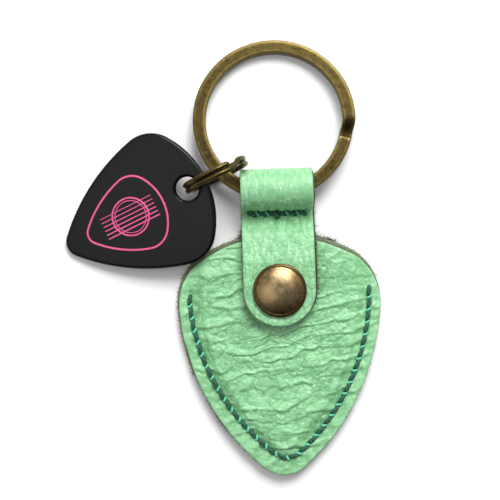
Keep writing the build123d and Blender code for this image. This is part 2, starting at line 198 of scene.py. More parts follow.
def make_mesh(name, points, faces, materials, grain=0.0, rest=None, index=None):
    """A smooth mesh object from points in millimetres, joined where points meet."""
    mesh = bpy.data.meshes.new(name)
    mesh.from_pydata((np.asarray(points) * MM).tolist(), [], [tuple(face) for face in faces])
    for material in materials:
        mesh.materials.append(material)
    if index is not None:
        mesh.polygons.foreach_set("material_index", np.asarray(index, np.int32))
    store(mesh, grain, points if rest is None else rest)
    clean = bmesh.new()
    clean.from_mesh(mesh)
    bmesh.ops.remove_doubles(clean, verts=clean.verts, dist=2e-6)
    bmesh.ops.dissolve_degenerate(clean, edges=clean.edges, dist=1e-7)
    bmesh.ops.recalc_face_normals(clean, faces=clean.faces)
    for face in clean.faces:
        face.smooth = True
    clean.to_mesh(mesh)
    clean.free()
    piece = bpy.data.objects.new(name, mesh)
    bpy.context.scene.collection.objects.link(piece)
    return piece


def swept(centres, across, up, sections):
    """Points and faces of a closed section carried along a line, its ends closed by fans."""
    rows, columns = sections.shape[:2]
    points = centres[:, None] + across[:, None] * sections[..., :1] + up[:, None] * sections[..., 1:2]
    faces = [tuple(face) for face in grid_faces(rows, columns)]
    last = (rows - 1) * columns
    ends = [rows * columns, rows * columns + 1]
    for j in range(columns):
        after = (j + 1) % columns
        faces.append((after, j, ends[0]))
        faces.append((last + j, last + after, ends[1]))
    tips = np.stack([points[0].mean(0), points[-1].mean(0)])
    return np.vstack([points.reshape(-1, 3), tips]), faces


def merged(parts):
    """Several (points, faces) put together."""
    points, faces, count = [], [], 0
    for part_points, part_faces in parts:
        points.append(part_points)
        faces += [tuple(int(corner) + count for corner in face) for face in part_faces]
        count += len(part_points)
    return np.vstack(points), faces


# ---- outlines ----
def half_arcs(shape):
    """The right half of a shield as (centre, radius, from, to), from its tip at (0, 0) to its top."""
    shoulder_x = shape.width / 2 - shape.shoulder_r
    top_y = shape.height - shape.top_r
    shoulder_y = top_y + sqrt((shape.top_r - shape.shoulder_r) ** 2 - shoulder_x**2)
    tip_reach = shape.side_r - shape.tip_r
    shoulder_reach = shape.side_r - shape.shoulder_r
    span = hypot(shoulder_x, shoulder_y - shape.tip_r)
    along = (tip_reach**2 - shoulder_reach**2 + span**2) / (2 * span)
    aside = sqrt(tip_reach**2 - along**2)
    ux, uy = shoulder_x / span, (shoulder_y - shape.tip_r) / span
    side = (along * ux - aside * uy, shape.tip_r + along * uy + aside * ux)
    tip_end = degrees(atan2(shape.tip_r - side[1], -side[0]))
    side_end = degrees(atan2(shoulder_y - side[1], shoulder_x - side[0]))
    shoulder_end = degrees(atan2(shoulder_y - top_y, shoulder_x))
    return [
        ((0.0, shape.tip_r), shape.tip_r, -90.0, tip_end),
        (side, shape.side_r, tip_end, side_end),
        ((shoulder_x, shoulder_y), shape.shoulder_r, side_end, shoulder_end),
        ((0.0, top_y), shape.top_r, shoulder_end, 90.0),
    ]


def arc_points(centre, radius, start, end, spacing=0.1):
    """Points along an arc given in degrees, both ends included."""
    count = max(3, ceil(radians(abs(end - start)) * radius / spacing) + 1)
    angles = np.radians(np.linspace(start, end, count))
    return np.stack([centre[0] + radius * np.cos(angles), centre[1] + radius * np.sin(angles)], 1)


def along_lengths(points):
    """The distance from the first point to each, along the line."""
    return np.concatenate([[0.0], np.cumsum(np.linalg.norm(np.diff(points, axis=0), axis=1))])


def resampled(points, count, closed=False):
    """Evenly spaced points along a line."""
    line = np.vstack([points, points[:1]]) if closed else points
    lengths = along_lengths(line)
    places = np.linspace(0.0, lengths[-1], count, endpoint=not closed)
    return np.stack([np.interp(places, lengths, line[:, k]) for k in range(line.shape[1])], 1)


def both_sides(right):
    """A closed outline from its right half, which starts and ends on x = 0."""
    return np.vstack([right, right[-2:0:-1] * (-1, 1)])


def shield_outline(shape):
    """Points round a shield with its tip at (0, 0)."""
    return both_sides(np.vstack([arc_points(*each) for each in half_arcs(shape)]))


def inset(shape, by):
    """The shield whose outline runs parallel to a shield's, inside it."""
    return Shield(shape.width - 2 * by, shape.height - 2 * by, *[r - by for r in shape[2:]])


def outward(rim):
    """Unit normals that point out of a closed anticlockwise outline."""
    along = unit(np.roll(rim, -1, 0) - np.roll(rim, 1, 0))
    return np.stack([along[:, 1], -along[:, 0]], 1)


def near(x, y, line):
    """Distance from each point to a line of close points, and how far along it the nearest lies."""
    lengths = along_lengths(line)
    flat = np.stack([np.ravel(x), np.ravel(y)], 1)
    distance = np.empty(len(flat))
    place = np.empty(len(flat))
    for start in range(0, len(flat), 4000):
        part = flat[start : start + 4000]
        gaps = np.linalg.norm(part[:, None] - line[None], axis=2)
        nearest = gaps.argmin(1)
        distance[start : start + 4000] = gaps[np.arange(len(part)), nearest]
        place[start : start + 4000] = lengths[nearest]
    return distance.reshape(np.shape(x)), place.reshape(np.shape(x))


# ---- seams ----
def seam_line():
    """The pouch's seam, from the right shoulder round the tip to the left one."""
    tip, side, shoulder, _ = half_arcs(inset(POUCH, SEAM_INSET))
    arcs = (tip, side, (*shoulder[:3], SEAM_END_ANGLE))
    right = np.vstack([arc_points(*each) for each in arcs])
    line = np.vstack([right[::-1], right[1:] * (-1, 1)])
    turn = radians(SEAM_SKEW)
    spin = np.array([[cos(turn), sin(turn)], [-sin(turn), cos(turn)]])
    return line @ spin + (SEAM_SHIFT, TIP_Y + SEAM_INSET + SEAM_RISE)


SEAM = seam_line()
SEAM_HOLES = resampled(SEAM, ceil(along_lengths(SEAM)[-1] / STITCH) + 1)
STITCH_PITCH = along_lengths(SEAM)[-1] / (len(SEAM_HOLES) - 1)
STRAP_HOLES = np.full((STRAP_STITCHES + 1, 2), STRAP_SEAM_Y)
STRAP_HOLES[:, 0] = np.linspace(-STRAP_STITCH_SPAN / 2, STRAP_STITCH_SPAN / 2, STRAP_STITCHES + 1)


# ---- materials ----
class Shader:
    """A material with a Principled shader, and a short way to add nodes to it."""

    def __init__(self, name, **values):
        self.material = bpy.data.materials.new(name)
        self.material.use_nodes = True
        self.tree = self.material.node_tree
        self.surface = self.tree.nodes["Principled BSDF"]
        self.set(**values)

    def set(self, **values):
        """Sets or links sockets of the surface."""
        for socket, value in values.items():
            self.put(self.surface, socket.replace("_", " "), value)

    def put(self, node, socket, value):
        """Sets a socket to a value, or links another node's output to it."""
        if isinstance(value, bpy.types.NodeSocket):
            self.tree.links.new(value, node.inputs[socket])
        else:
            node.inputs[socket].default_value = value

    def add(self, kind, inputs, output=0, **settings):
        """A new node's output."""
        node = self.tree.nodes.new("ShaderNode" + kind)
        for key, value in settings.items():
            setattr(node, key, value)
        for key, value in inputs.items():
            self.put(node, key, value)
        return node.outputs[output]

    def attribute(self, name, output="Fac"):
        """A value stored on the mesh."""
        return self.add("Attribute", {}, output, attribute_name=name)

    def place(self):
        """Where a point lies at rest, in millimetres."""
        return self.attribute("rest", "Vector")

    def grain(self, scale, detail=4.0, rough=0.55, stretch=None):
        """Noise with this many bumps per millimetre."""
        vector = self.place()
        if stretch:
            vector = self.add("Mapping", {"Vector": vector, "Scale": stretch})
        return self.add("TexNoise", {"Vector": vector, "Scale": scale, "Detail": detail, "Roughness": rough})

    def cells(self, scale):
        """How far a point is from its cell's border, with this many cells per millimetre."""
        inputs = {"Vector": self.place(), "Scale": scale}
        return self.add("TexVoronoi", inputs, "Distance", feature="DISTANCE_TO_EDGE")

    def span(self, value, low, high, to_low=0.0, to_high=1.0):
        """A value stretched from one range to another, held inside it."""
        inputs = {"Value": value, "From Min": low, "From Max": high, "To Min": to_low, "To Max": to_high}
        return self.add("MapRange", inputs)

    def blend(self, share, first, second):
        """One colour turning into another."""
        node = self.tree.nodes.new("ShaderNodeMix")
        node.data_type = "RGBA"
        self.put(node, 0, share)
        self.put(node, 6, first)
        self.put(node, 7, second)
        return node.outputs[2]

    def sums(self, first, second, operation="ADD"):
        """Two values added, or otherwise worked together."""
        return self.add("Math", {0: first, 1: second}, operation=operation)

    def bump(self, heights):
        """Bumps of several (height, depth in millimetres) laid on each other."""
        normal = None
        for height, depth in heights:
            inputs = {"Height": height, "Distance": depth * MM, "Strength": 1.0}
            if normal is not None:
                inputs["Normal"] = normal
            normal = self.add("Bump", inputs)
        self.set(Normal=normal)


def srgb(red, green, blue):
    """A colour in 0 to 255 as Blender's linear colour."""
    scaled = [value / 255 for value in (red, green, blue)]
    return (*[v / 12.92 if v < 0.04045 else ((v + 0.055) / 1.055) ** 2.4 for v in scaled], 1.0)


def leather(name, shade, light, pale, fine, stretch):
    """Pigmented leather: paler on its raised grain and darker in its creases, which is painted shade; pale
    speckles that are partly its own mottle and partly painted glints; fine pores.
    """
    paint = Shader(name, Metallic=0.0, IOR=1.5)
    raised = paint.attribute("grain")
    mottle = paint.grain(1.25, 3.0, 0.55, stretch)
    pores = paint.grain(fine, 3.0, 0.7)
    # painted shade: the colour darkens from the raised grain into the creases
    body = paint.blend(paint.span(raised, -0.25, 0.1), shade, light)
    # pale speckles: partly the leather's own mottle, partly painted glints
    mottle_and_painted_glints = paint.sums(paint.span(mottle, 0.47, 0.8), paint.span(pores, 0.4, 0.62), "MULTIPLY")
    paint.set(Base_Color=paint.blend(mottle_and_painted_glints, body, pale))
    paint.set(Roughness=paint.span(pores, 0.35, 0.7, 0.34, 0.54))
    paint.bump([(paint.cells(fine * 0.7), 0.08), (pores, 0.05)])
    return paint.material


def suede(name, dark, light):
    """The fibrous cut edge and flesh side of leather."""
    paint = Shader(name, Metallic=0.0, Roughness=0.95)
    streaks = paint.grain(2.2, 6.0, 0.7, stretch=(1.0, 1.0, 0.35))
    paint.set(Base_Color=paint.blend(paint.span(streaks, 0.35, 0.65), dark, light))
    paint.bump([(paint.grain(5.0, 4.0), 0.12)])
    return paint.material


def cord(name, dark, light):
    """Waxed thread: dark along each stitch, with painted highlights on the crests of its twist, and painted
    glints that colour bright the short strands across each hole.
    """
    paint = Shader(name, Metallic=0.0)
    strands = paint.attribute("grain")
    paint.set(Base_Color=paint.blend(strands, dark, light))
    paint.set(Roughness=paint.span(paint.grain(4.0), 0.3, 0.7, 0.5, 0.75))
    paint.bump([(paint.grain(9.0, 3.0), 0.03)])
    return paint.material


def aged_brass(name, patina, metal, rub, rough):
    """Antique brass: dark in its patina, brighter where it is rubbed; on the snap cap's dome the brighter top
    is also a painted highlight.
    """
    paint = Shader(name, Metallic=1.0)
    worn = paint.attribute("grain")
    spots = paint.grain(1.1, 6.0, 0.65)
    speck = paint.grain(7.0, 3.0, 0.6)
    rubbed = paint.sums(paint.span(worn, -1.0, 0.0), 0.6, "MULTIPLY")
    tone = paint.sums(paint.sums(spots, 0.6), rubbed)
    body = paint.blend(paint.span(tone, 1.45, 1.88), patina, metal)
    # rubbed metal, and on the snap cap's dome the painted highlight
    rub_and_painted_highlight = paint.sums(paint.span(worn, 0.0, 1.0), paint.span(speck, 0.3, 0.6), "MULTIPLY")
    paint.set(Base_Color=paint.blend(rub_and_painted_highlight, body, rub))
    paint.set(Roughness=paint.span(spots, 0.3, 0.7, rough, rough + 0.16))
    paint.bump([(speck, 0.012), (spots, 0.03)])
    return paint.material


def plastic(name, dark, light):
    """Satin black plastic with a faint mottle."""
    paint = Shader(name, Metallic=0.0, IOR=1.45, Specular_IOR_Level=0.25)
    mottle = paint.grain(2.6, 5.0, 0.6)
    paint.set(Base_Color=paint.blend(paint.span(mottle, 0.35, 0.7), dark, light))
    paint.set(Roughness=paint.span(paint.grain(6.0), 0.3, 0.7, 0.22, 0.32))
    paint.bump([(paint.grain(9.0, 3.0), 0.012)])
    return paint.material


def ink(name, first, second):
    """Screen-printed ink, a little uneven."""
    paint = Shader(name, Metallic=0.0, Roughness=0.5)
    paint.set(Base_Color=paint.blend(paint.span(paint.grain(3.0), 0.3, 0.7), first, second))
    return paint.material


ACROSS, LENGTHWISE = (1.0, 1.3, 1.0), (1.2, 0.5, 1.0)
# each leather: painted crease shade, its own colour, the tint of its mottle and painted glints, pores per
# millimetre, grain stretch
MINTS = {
    "front_leather": (srgb(110, 172, 118), srgb(147, 208, 154), srgb(196, 244, 200), 2.3, ACROSS),
    "strap_leather": (srgb(104, 166, 112), srgb(143, 203, 150), srgb(198, 246, 202), 2.6, LENGTHWISE),
    "back_leather": (srgb(104, 164, 112), srgb(138, 197, 145), srgb(182, 232, 186), 2.3, ACROSS),
}
FRONT, STRAP, BACK = [leather(name, *looks) for name, looks in MINTS.items()]
EDGE = suede("cut_edge", srgb(34, 30, 18), srgb(92, 90, 62))
FUZZ = suede("loose_fibres", srgb(56, 50, 30), srgb(120, 114, 82))
FLESH = suede("flesh_side", srgb(88, 100, 76), srgb(138, 150, 118))
# its second colour is that of the painted highlights and glints on the thread
THREAD = cord("waxed_thread", srgb(0, 52, 32), srgb(112, 218, 178))
RING_BRASS = aged_brass("ring_brass", srgb(32, 27, 13), srgb(70, 60, 32), srgb(128, 111, 64), 0.24)
SNAP_BRASS = aged_brass("snap_brass", srgb(84, 67, 42), srgb(140, 117, 80), srgb(214, 190, 148), 0.2)
STEEL = aged_brass("spring_wire", srgb(120, 120, 118), srgb(165, 165, 160), srgb(210, 210, 206), 0.3)
BLACK = plastic("tag_plastic", srgb(3, 3, 3), srgb(10, 10, 9))
PINK = ink("pink_ink", srgb(208, 70, 128), srgb(228, 92, 148))


# ---- sheets of leather ----
def sheet(name, rim, centre, top, bottom, edge_r, rings, materials, flare=0.0):
    """A closed sheet inside a rim, whose top and bottom follow height functions of x and y.

    A height function also gives the grain. rings counts the rows of points on the top and on the bottom.
    materials are those of the top, the cut edge and the bottom.
    """
    normals = outward(rim)
    edge_r = np.broadcast_to(edge_r, len(rim))[:, None]
    flare = np.broadcast_to(flare, len(rim))[:, None]
    inner = rim - normals * edge_r
    top_shares, bottom_shares = [np.linspace(0.0, 1.0, count) ** 0.9 for count in rings]
    rows, grains, kinds = [], [], []

    def row(plan, height, grain, kind):
        rows.append(np.column_stack([plan, height]))
        grains.append(grain)
        kinds.append(kind)

    for share in top_shares:
        plan = centre + share * (inner - centre)
        height, grain = top(plan[:, 0], plan[:, 1])
        row(plan, height, grain, 0)
    rim_top = height
    bends = np.radians((30.0, 60.0, 90.0))
    for bend in bends:
        plan = inner + normals * edge_r * sin(bend)
        row(plan, rim_top - (edge_r * (1 - cos(bend)))[:, 0], grain, 0)
    low = bottom(inner[:, 0], inner[:, 1])[0]
    wall = rows[-1][:, 2]
    around = along_lengths(rim)
    for share in (0.3, 0.6, 0.85, 1.0):
        rough = 0.12 * (noise(around / 0.5, np.full(len(rim), share * 9), 5) - 0.4)[:, None]
        plan = rim + normals * (flare * share + (rough if share < 1 else 0))
        row(plan, wall + share * (low + 0.1 - wall), np.zeros(len(rim)), 1)
    for share in bottom_shares[::-1]:
        plan = centre + share * (inner + normals * flare - centre)
        height, grain = bottom(plan[:, 0], plan[:, 1])
        row(plan, height, grain, 2)
    points = np.vstack(rows)
    index = np.repeat(kinds[1:], len(rim))
    faces = grid_faces(len(rows), len(rim))
    return make_mesh(name, points, faces, materials, np.concatenate(grains), index=index)


FOLD_SPACING = 2.8  # between the long folds of tumbled grain
FOLD_LOW, FOLD_SPREAD = 0.06, 0.3
SHORT_FOLD, PEBBLE, FINE = 0.24, 0.17, 0.02
GRAIN_LEVEL = 0.42  # brings the grain's highest points to about the leather's face


def tumbled(x, y):
    """Soft tumbled grain: broken folds across, with small pebbles between, in millimetres of height."""
    bent_x = x + 60 + 2.2 * (noise(x / 4.0, y / 3.0, 0) - 0.5)
    bent_y = y + 30 - 0.1 * x + 0.9 * (noise(x / 1.9, y / 1.9, 2) - 0.5)
    drift = 3.4 * (noise(x / 6.0 + 7, y / 5.5, 1) - 0.5)
    phase = (bent_y + drift) / FOLD_SPACING
    share = phase - np.floor(phase)
    fold = ease(share / 0.2) * (1 - share) ** 0.75
    short_gap = cell_gap(bent_x / 3.6 + 5, (bent_y + drift) / 1.9 + 3, 4)
    pebble_gap = cell_gap(bent_x / 1.4 + 9, bent_y / 1.05, 6)
    fine_gap = cell_gap(bent_x / 0.6, bent_y / 0.5, 8)
    depth = ease((noise(x / 3.6, y / 2.0, 3) - 0.22) / 0.4)
    height = (FOLD_LOW + FOLD_SPREAD * depth) * fold
    for size, gap in ((SHORT_FOLD, short_gap), (PEBBLE, pebble_gap), (FINE, fine_gap)):
        height += size * np.sqrt(np.clip(gap, 0, 0.5))
    return height - GRAIN_LEVEL


def smooth_grain(x, y):
    """Finer grain of tight leather, a little drawn out along Y, in millimetres of height."""
    bent_x = x + 0.8 * (noise(x / 1.5, y / 2.5, 0) - 0.5)
    bent_y = y + 0.8 * (noise(x / 1.5 + 3, y / 2.0, 1) - 0.5)
    streak_gap = cell_gap(bent_x / 1.2, bent_y / 2.4, 2)
    pebble_gap = cell_gap(bent_x / 0.8 + 4, bent_y / 0.9, 4)
    height = -0.1 * np.exp(-((streak_gap / 0.2) ** 2))
    height -= 0.07 * np.exp(-((pebble_gap / 0.22) ** 2))
    return height + 0.14 * (noise(x / 1.3, y / 2.2, 6) - 0.5)


OPEN_OUTLINE = shield_outline(POUCH._replace(height=POUCH.height + 8.0)) + (0, TIP_Y)
CROWN_START, CROWN_WIDTH = 2.75, 2.6  # the rise over the pocket, in from the rim
LINING_GAP = 0.01  # keeps the inner faces of the two panels apart
GROOVE, PUCKER = 0.2, 0.07  # depth of a seam's groove and of the puckers beside it
CAP_BED_R = 3.9  # the grain is pressed flat under the snap


def crown(x, y):
    """How far the front panel is raised over the pocket."""
    distance, _ = near(x, y, OPEN_OUTLINE)
    return POCKET_DEPTH * ease((distance - CROWN_START) / CROWN_WIDTH)


def seam_pull(x, y, line, pitch):
    """The groove along a seam, deeper at each hole, with puckers beside it."""
    distance, place = near(x, y, line)
    beat = np.cos(tau * place / pitch)
    groove = -GROOVE * (1 + 0.35 * beat) * np.exp(-((distance / 0.5) ** 2))
    return groove - PUCKER * beat * np.exp(-(((distance - 0.9) / 0.7) ** 2))


def front_top(x, y):
    """The front panel's outside."""
    past_snap = ease((np.hypot(x, y) - CAP_BED_R) / 1.2)
    edge, _ = near(x, y, FRONT_RIM)
    grain = tumbled(x, y) * (0.25 + 0.75 * past_snap) * (0.55 + 0.45 * ease(edge / 3.0))
    rise = crown(x, y)
    swell = 0.22 * ease((rise / POCKET_DEPTH - 0.4) / 0.6) * ease((np.hypot(x, y) - 4.5) / 6.0)
    rise = rise + swell * ease((MOUTH_Y - 3.0 - y) / 4.0)
    return 2 * LEATHER + rise + grain + seam_pull(x, y, SEAM, STITCH_PITCH), grain


def front_bottom(x, y):
    """The inside of the front panel, over the pocket."""
    return LEATHER + LINING_GAP + crown(x, y), np.zeros(np.shape(x))


def back_top(x, y):
    """The inside of the back panel."""
    return np.full(np.shape(x), LEATHER - LINING_GAP), np.zeros(np.shape(x))


def back_bottom(x, y):
    """The outside of the back panel, pressed flat by what it lies on."""
    before_loop = ease((LOOP_Y - y) / 2.0)
    grain = tumbled(x + 40, y + 17) * before_loop
    pull = seam_pull(x, y, SEAM, STITCH_PITCH) + seam_pull(x, y, STRAP_LINE, STRAP_PITCH)
    flat = 0.75 * grain + pull * before_loop
    return np.maximum(-flat, 0.0), grain


def uneven(rim, size, length, layer):
    """An outline moved in and out a little."""
    wave = noise(along_lengths(rim) / length, np.zeros(len(rim)), layer) - 0.5
    return rim + outward(rim) * (size * wave)[:, None]


FRONT_RIM = resampled(uneven(shield_outline(POUCH) + (0, TIP_Y), 0.18, 2.6, 7), 430, closed=True)
STRAP_LINE = resampled(STRAP_HOLES, 90)


def back_outline():
    """The back panel and its neck, joined by small fillets, as far as the bottom of the loop."""
    tip, side, shoulder, top = half_arcs(POUCH._replace(height=POUCH.height + BACK_RISE))
    crest, radius = top[0], top[1]
    fillet_x = HALF_STRAP + NECK_FILLET
    fillet_y = crest[1] + sqrt((radius + NECK_FILLET) ** 2 - fillet_x**2)
    meet = degrees(atan2(fillet_y - crest[1], fillet_x))
    neck_top = LOOP_Y - TIP_Y
    right = [arc_points(*each) for each in (tip, side, shoulder)]
    right.append(arc_points(crest, radius, top[2], meet))
    right.append(arc_points((fillet_x, fillet_y), NECK_FILLET, meet + 180.0, 180.0))
    neck = np.array([(HALF_STRAP, fillet_y), (HALF_STRAP, neck_top), (0.0, neck_top)])
    right.append(np.vstack([resampled(neck[:2], 40), resampled(neck[1:], 30)]))
    return both_sides(np.vstack(right)) + (0, TIP_Y)


def shows_behind(rim):
    """How far the back panel stands out past the front one, more on its left side and shoulders."""
    x, y = rim[:, 0], rim[:, 1]
    around = along_lengths(rim)
    wave = noise(around / 6.0, np.zeros(len(rim)), 8)
    left = 0.06 + 0.3 * ease((-x - 4.0) / 8.0) * (0.2 + 0.8 * wave)
    right = 0.05 + 0.22 * ease((y - 2.0) / 6.0) * wave
    return np.where(x < 0, left, right) * ease((MOUTH_Y + 1.0 - y) / 2.0)


def build_back():
    """The back panel and its neck."""
    rim = resampled(back_outline(), 520, closed=True)
    rim = rim + outward(rim) * shows_behind(rim)[:, None]
    square_end = ease((LOOP_Y - 0.3 - rim[:, 1]) / 1.0)
    middle = np.array([0.0, 5.0])
    rings, materials = (24, 120), [FLESH, EDGE, BACK]
    piece = sheet("back_leather", rim, middle, back_top, back_bottom, 0.22 * square_end, rings, materials)
    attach(piece, "pouch")
    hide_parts("back_panel")
    return rim


def build_front():
    """The front panel, crowned over the pocket."""
    middle = np.array([0.0, -9.0])
    rings, materials = (150, 30), [FRONT, EDGE, FLESH]
    piece = sheet("front_leather", FRONT_RIM, middle, front_top, front_bottom, 0.28, rings, materials, 0.1)
    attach(piece, "pouch")
    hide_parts("front_panel")


# ---- the strap ----
def rounded_line(points, radii):
    """A line through corners rounded by arcs."""
    line = [np.array(points[0], float)]
    for before, corner, after, radius in zip(points, points[1:], points[2:], radii):
        corner = np.array(corner, float)
        back, ahead = unit(np.array(before) - corner), unit(np.array(after) - corner)
        half = np.arccos(np.clip(back @ ahead, -1, 1)) / 2
        reach = radius / np.tan(half)
        centre = corner + unit(back + ahead) * radius / sin(half)
        first, last = corner + back * reach - centre, corner + ahead * reach - centre
        for share in np.linspace(0, 1, 24):
            line.append(centre + unit(first * (1 - share) + last * share) * radius)
    line.append(np.array(points[-1], float))
    return np.array(line)


def strap_line():
    """The strap's middle in the YZ plane: the loop, the flat part under its seam, the rise and the flap."""
    middle_r = LOOP_R - LEATHER / 2
    crease_z = TAIL_Z + CREASE_R
    crease_y = LOOP_Y - sqrt((middle_r + CREASE_R) ** 2 - (LOOP_R - crease_z) ** 2)
    turn = degrees(asin((LOOP_R - crease_z) / (middle_r + CREASE_R)))
    flap_start = (socket_high[0] + 1.0, FLAP_MID)
    corners = [(crease_y, TAIL_Z), FLAT_END, MOUTH_CREST, flap_start, (-HALF_STRAP, FLAP_MID)]
    return np.vstack([
        arc_points((LOOP_Y, LOOP_R), middle_r, -90.0, 180.0 + turn),
        arc_points((crease_y, crease_z), CREASE_R, turn, -90.0)[1:],
        rounded_line(corners, (1.4, 1.8, 5.0))[1:],
    ])


STRAP_EDGE_R = 0.3
LOOP_RUN = 12.0  # the loop's lower half is over by this far along the strap
FLAP_RUN = 25.0  # and from here on it is the flap
SIDE_SHARES = np.array([0.25, 0.5, 0.75])


def strap_rows(line):
    """Where the strap's sections lie along it and in the YZ plane, how it runs there, and its half width."""
    lengths = along_lengths(line)
    round_end = lengths[-1] - HALF_STRAP
    straight = np.linspace(0.0, round_end, 190)
    rounded = round_end + HALF_STRAP * np.sin(np.linspace(0.0, pi / 2, 46))[1:]
    places = np.concatenate([straight, rounded])
    centres = np.stack([np.interp(places, lengths, line[:, k]) for k in (0, 1)], 1)
    run = unit(np.gradient(centres, places, axis=0))
    from_end = np.clip(places - round_end, 0.0, None)
    width = np.sqrt(np.clip(HALF_STRAP**2 - from_end**2, 0.0, None))
    return places, centres, run, width


def strap_relief(s, u, y):
    """The strap's grain, seam, dent round the snap and folds, at s along it and u across it."""
    on_loop = 1 - ease((s - LOOP_R * 4.6) / 2.0)
    grain = smooth_grain(u + 20, s) * ease(s / 2.0) * (1 - 0.55 * on_loop)
    seam = np.where(s < LOOP_RUN, 0.0, seam_pull(u, y, STRAP_LINE, STRAP_PITCH))
    dent = -0.16 * np.exp(-(((np.hypot(u, y) - CAP_R) / 0.7) ** 2)) * (s > FLAP_RUN)
    ridge = np.abs(2 * noise(u / 1.1 + 30, y / 1.8, 3) - 1)
    near_crease = np.exp(-(((y - STRAP_SEAM_Y - 1.1) / 0.8) ** 2)) * (s > LOOP_RUN)
    fold = -0.22 * near_crease * np.exp(-((ridge / 0.3) ** 2))
    return grain, seam, dent, fold


def strap_sections(places, width, u, top, bottom):
    """The strap's sections. Its cut edge leans out a little on the right, so its fibres show from above."""
    lean = (0.32 * ease((places - 3.0) / 4.0) * np.sqrt(width / HALF_STRAP))[:, None]
    rough = 0.1 * (noise(places[:, None] / 0.5, SIDE_SHARES * 7, 5) - 0.4)
    fade = ease(places / 2.0)[:, None]
    right_x = u[:, -1:] + lean * SIDE_SHARES + rough * fade
    left_x = u[:, :1] - rough[:, ::-1] * fade - 0.3 * lean * SIDE_SHARES[::-1]
    under_x = u[:, ::-1] + lean * np.clip(u[:, ::-1] / HALF_STRAP, 0, 1)
    right_z = top[:, -1:] + (bottom[:, :1] - top[:, -1:]) * SIDE_SHARES
    left_z = bottom[:, -1:] + (top[:, :1] - bottom[:, -1:]) * SIDE_SHARES
    sides = ((u, top), (right_x, right_z), (under_x, bottom), (left_x, left_z))
    return np.concatenate([np.stack(side, -1) for side in sides], 1)


def build_strap():
    """The loop, the folded leather under its seam and the flap with its round end, in one piece."""
    places, middle, run, width = strap_rows(strap_line())
    rows = len(places)
    half = 1 - (1 - np.linspace(0.0, 1.0, 34)) ** 1.35
    across = np.concatenate([-half[::-1], half[1:]])
    columns = len(across)
    s = np.repeat(places[:, None], columns, 1)
    y = np.repeat(middle[:, :1], columns, 1)
    u = width[:, None] * across
    beyond = s - (places[-1] - HALF_STRAP)
    inside = np.where(beyond > 0, HALF_STRAP - np.hypot(beyond, u), width[:, None] - np.abs(u))
    to_edge = np.clip(STRAP_EDGE_R - inside, 0, STRAP_EDGE_R)
    drop = STRAP_EDGE_R - np.sqrt(np.clip(STRAP_EDGE_R**2 - to_edge**2, 0, None))
    layers = strap_relief(s, u, y)
    bottom = -LEATHER / 2 + drop[:, ::-1]
    top = np.maximum(sum(layers, LEATHER / 2 - drop), bottom[:, ::-1] + 0.05)
    sections = strap_sections(places, width, u, top, bottom)

    nought = np.zeros(rows)
    sideways = np.tile([1.0, 0.0, 0.0], (rows, 1))
    out = np.column_stack([nought, run[:, 1], -run[:, 0]])
    points, faces = swept(np.column_stack([nought, middle]), sideways, out, sections)

    # Each face's material: the top, then a cut edge, the underside and the other cut edge.
    count = sections.shape[1]
    kind = np.repeat([0, 1, 2, 1], [columns - 1, 4, columns - 1, 4])
    index = np.concatenate([np.tile(kind, rows - 1), np.ones(2 * count)])
    grains = np.zeros((rows, count))
    grains[:, :columns] = layers[0]
    grains = np.append(grains, [0.0, 0.0])
    rest = np.stack([sections[..., 0] + 20, np.repeat(places[:, None], count, 1), sections[..., 1]], -1)
    rest = np.vstack([rest.reshape(-1, 3), [[20.0, 0.0, 0.0], [20.0, places[-1], 0.0]]])
    piece = make_mesh("strap_leather", points, faces, [STRAP, EDGE, FLESH], grains, rest, index)
    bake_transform(piece)
    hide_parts("strap_flap")


# ---- stitches ----
def strand(path, radius, shade=(0.0, 0.13), lobes=3, twist=1.15, sides=18):
    """A twisted thread along a smooth path, and how bright each point of it is, between the two shades: the
    crests of its twist are painted highlights.
    """
    line = resampled(path, 22)
    aside, up = square_to(line, [0.0, 0.0, 1.0])
    angles = np.linspace(0.0, tau, sides, endpoint=False)
    lay = along_lengths(line)[:, None] * tau * twist / lobes
    lobe = np.abs(np.cos(lobes / 2 * (angles - lay)))
    taper = 0.55 + 0.45 * np.sqrt(np.sin(np.linspace(0.0, pi, len(line))))[:, None]
    size = radius * taper * (0.84 + 0.18 * lobe)
    points, faces = swept(line, aside, up, size[..., None] * circle(sides))
    # painted highlight: the crests of the twist are coloured lighter
    painted_highlight = shade[0] + (shade[1] - shade[0]) * lobe
    return points, faces, np.append(painted_highlight, [shade[0], shade[0]])


def stitch_path(start, end, lay, depth, slant, proud):
    """One stitch from hole to hole: up out of the leather, along it a little askew, and down again."""
    run = unit(end - start)
    aside = np.array([-run[1], run[0]])
    shares = np.array([0.0, 0.03, 0.12, 0.3, 0.5, 0.7, 0.88, 0.97, 1.0])
    heights = np.array([-1.0, -0.45, 0.25, 0.85, 1.0, 0.85, 0.25, -0.45, -1.0])
    plan = start + shares[:, None] * (end - start) + aside * (slant * (0.5 - shares) * 2)[:, None]
    level = lay + np.where(heights < 0, heights * depth, heights * proud)
    knots = np.column_stack([plan, level])
    spread = along_lengths(knots)
    fine = np.linspace(0, spread[-1], 60)
    return np.stack([np.interp(fine, spread, knots[:, k]) for k in range(3)], 1)


